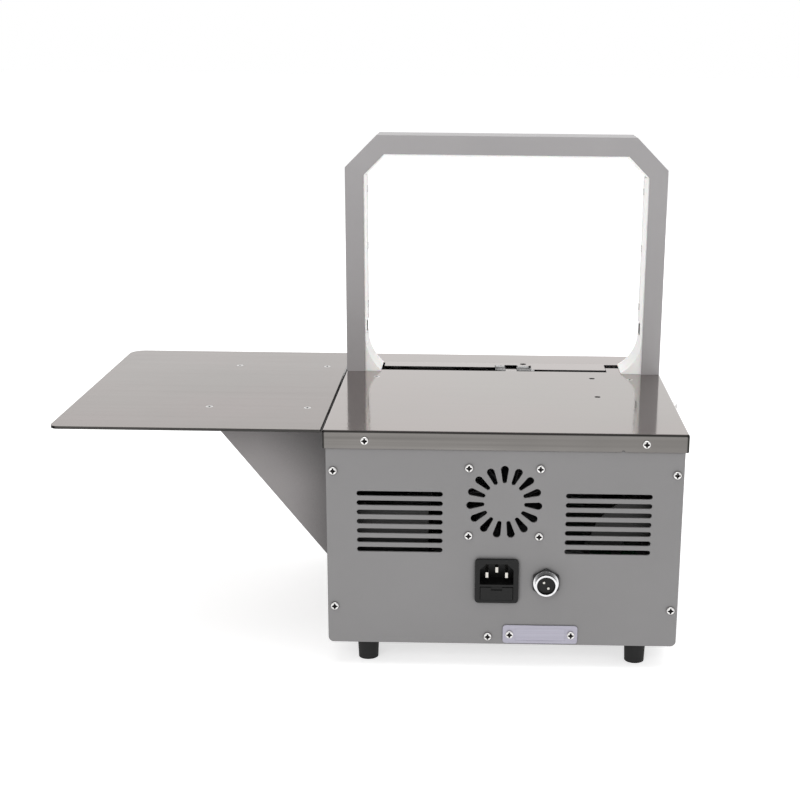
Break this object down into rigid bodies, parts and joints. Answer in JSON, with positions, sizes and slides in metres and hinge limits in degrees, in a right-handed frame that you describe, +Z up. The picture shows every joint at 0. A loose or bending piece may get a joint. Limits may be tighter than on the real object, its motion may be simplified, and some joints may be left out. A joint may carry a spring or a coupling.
{
  "type": "semi automatic strapping machine",
  "caption": "Table-top strapping machine: grey case, stainless working surface with side table, and an arch that leads the tape round the goods.",
  "frame": {"origin": "bottom centre of the bounding box, on the plane of the feet", "axes": "+X to the operator's right (side table), +Y to the rear panel, +Z up"},
  "size_m": [0.4496, 0.27, 0.3665],
  "materials": {
    "case_paint": "fine satin powder coat",
    "arch_paint": "fine satin powder coat",
    "gusset_paint": "fine satin powder coat",
    "cover_steel": "brushed across the front",
    "table_steel": "brushed",
    "polished_steel": "bright ground",
    "screw_steel": "bright zinc",
    "foot_rubber": "matt",
    "liner_plastic": "natural white",
    "gate_plastic": "natural white",
    "spring_steel": "bright",
    "head_alloy": "milled",
    "ground_steel": "ground",
    "heater_metal": "heat tinted",
    "plate_steel": "zinc plated",
    "bronze": "sintered",
    "gear_steel": "cut",
    "motor_case": "satin",
    "hub_plastic": "fine texture",
    "tape": "film wound on card",
    "roller_rubber": "matt",
    "fan_plastic": "fine texture",
    "inlet_plastic": "fine texture",
    "contact_metal": "plated",
    "socket_chrome": "nickel plated",
    "plate_silver": "satin anodised",
    "panel_film": "printed film, no lettering",
    "display_glass": "dark window",
    "button_green": "moulded",
    "button_amber": "moulded",
    "button_grey": "moulded",
    "rocker_plastic": "moulded",
    "knob_plastic": "turned",
    "board_green": "solder mask",
    "supply_case": "folded sheet"
  },
  "bodies": {
    "machine": {"case_shell": "case_paint", "rear_panel": "case_paint", "front_panel": "case_paint", "top_cover": "cover_steel", "rubber_feet": "foot_rubber", "case_screws": "screw_steel", "side_table": "table_steel", "rear_gusset": "gusset_paint", "front_gusset": "gusset_paint", "table_screws": "screw_steel", "arch": "arch_paint", "right_track_liner": "liner_plastic", "left_track_liner": "liner_plastic", "top_track_liner": "liner_plastic", "gate_hinges": "spring_steel", "slot_rail": "polished_steel", "head_block": "head_alloy", "frame_plate": "plate_steel", "shaft_bushes": "bronze", "gear_motor": "motor_case", "reel_spindle": "ground_steel", "reel_nut": "hub_plastic", "feed_motor": "motor_case", "fan_housing": "fan_plastic", "inlet_body": "inlet_plastic", "contact_pins": "contact_metal", "pedal_socket": "socket_chrome", "pedal_socket_nut": "socket_chrome", "pedal_socket_insert": "inlet_plastic", "nameplate": "plate_silver", "control_panel": "panel_film", "display_window": "display_glass", "switch_frame": "inlet_plastic", "door_hinges": "spring_steel", "circuit_boards": "board_green", "power_supply": "supply_case"},
    "right_gate_flap": {"right_gate": "gate_plastic"},
    "left_gate_flap": {"left_gate": "gate_plastic"},
    "anvil_slide": {"anvil": "polished_steel"},
    "press_slide": {"press_block": "ground_steel"},
    "gripper_slide": {"tape_gripper": "ground_steel"},
    "cutter_slide": {"cutter_blade": "ground_steel"},
    "heater_slide": {"heater_blade": "heater_metal"},
    "cam_train": {"camshaft": "ground_steel", "cams": "ground_steel", "cam_gear": "gear_steel"},
    "pinion": {"motor_pinion": "gear_steel"},
    "reel": {"reel_hub": "hub_plastic", "tape_roll": "tape"},
    "feed_drum": {"feed_roller": "roller_rubber"},
    "pinch_drum": {"pinch_roller": "roller_rubber"},
    "fan_blades": {"fan_rotor": "fan_plastic"},
    "fuse_tray": {"fuse_drawer": "inlet_plastic"},
    "feed_key": {"feed_button": "button_green"},
    "retract_key": {"retract_button": "button_amber"},
    "plus_key": {"plus_button": "button_grey"},
    "minus_key": {"minus_button": "button_grey"},
    "rocker": {"power_rocker": "rocker_plastic"},
    "door": {"reel_door": "case_paint", "door_pull": "knob_plastic"}
  },
  "joints": [
    {"name": "right_gate_swing", "type": "hinge", "parent": "machine", "child": "right_gate_flap", "pos_m": [0.0194, -0.0881, 0.2155], "axis": [0, 0, 1], "range_deg": [0, 30], "stiffness_Nm_per_rad": 0.02},
    {"name": "left_gate_swing", "type": "hinge", "parent": "machine", "child": "left_gate_flap", "pos_m": [-0.2068, -0.0881, 0.2155], "axis": [0, 0, -1], "range_deg": [0, 30], "stiffness_Nm_per_rad": 0.02},
    {"name": "anvil_retract", "type": "slide", "parent": "machine", "child": "anvil_slide", "axis": [0, -1, 0], "range_m": [0, 0.02]},
    {"name": "press_lift", "type": "slide", "parent": "machine", "child": "press_slide", "axis": [0, 0, 1], "range_m": [0, 0.005]},
    {"name": "gripper_lift", "type": "slide", "parent": "machine", "child": "gripper_slide", "axis": [0, 0, 1], "range_m": [0, 0.005]},
    {"name": "cutter_lift", "type": "slide", "parent": "machine", "child": "cutter_slide", "axis": [0, 0, 1], "range_m": [0, 0.005]},
    {"name": "heater_shift", "type": "slide", "parent": "machine", "child": "heater_slide", "axis": [0, 1, 0], "range_m": [-0.024, 0]},
    {"name": "camshaft_turn", "type": "hinge", "parent": "machine", "child": "cam_train", "pos_m": [-0.1037, -0.046, 0.1], "axis": [0, 1, 0], "continuous": true},
    {"name": "motor_turn", "type": "hinge", "parent": "machine", "child": "pinion", "pos_m": [-0.1317, -0.046, 0.1], "axis": [0, 1, 0], "continuous": true},
    {"name": "reel_turn", "type": "hinge", "parent": "machine", "child": "reel", "pos_m": [-0.0327, -0.073, 0.075], "axis": [0, 1, 0], "continuous": true},
    {"name": "feed_turn", "type": "hinge", "parent": "machine", "child": "feed_drum", "pos_m": [-0.0097, -0.073, 0.15], "axis": [0, 1, 0], "continuous": true},
    {"name": "pinch_turn", "type": "hinge", "parent": "machine", "child": "pinch_drum", "pos_m": [-0.0097, -0.073, 0.1326], "axis": [0, 1, 0], "continuous": true},
    {"name": "fan_turn", "type": "hinge", "parent": "machine", "child": "fan_blades", "pos_m": [-0.0937, 0.1135, 0.1262], "axis": [0, 1, 0], "continuous": true},
    {"name": "fuse_pull", "type": "slide", "parent": "machine", "child": "fuse_tray", "axis": [0, 1, 0], "range_m": [0, 0.014]},
    {"name": "feed_press", "type": "slide", "parent": "machine", "child": "feed_key", "axis": [0, 1, 0], "range_m": [0, 0.0015], "stiffness_N_per_m": 400},
    {"name": "retract_press", "type": "slide", "parent": "machine", "child": "retract_key", "axis": [0, 1, 0], "range_m": [0, 0.0015], "stiffness_N_per_m": 400},
    {"name": "plus_press", "type": "slide", "parent": "machine", "child": "plus_key", "axis": [0, 1, 0], "range_m": [0, 0.0015], "stiffness_N_per_m": 400},
    {"name": "minus_press", "type": "slide", "parent": "machine", "child": "minus_key", "axis": [0, 1, 0], "range_m": [0, 0.0015], "stiffness_N_per_m": 400},
    {"name": "power_rock", "type": "hinge", "parent": "machine", "child": "rocker", "pos_m": [-0.1897, -0.122, 0.06], "axis": [1, 0, 0], "range_deg": [0, 18]},
    {"name": "door_swing", "type": "hinge", "parent": "machine", "child": "door", "pos_m": [0.0205, -0.1255, 0.026], "axis": [0, 0, 1], "range_deg": [0, 110]}
  ],
  "couplings": [
    {"joint": "motor_turn", "follows": "camshaft_turn", "ratio": -2.5},
    {"joint": "pinch_turn", "follows": "feed_turn", "ratio": -1.4286}
  ]
}
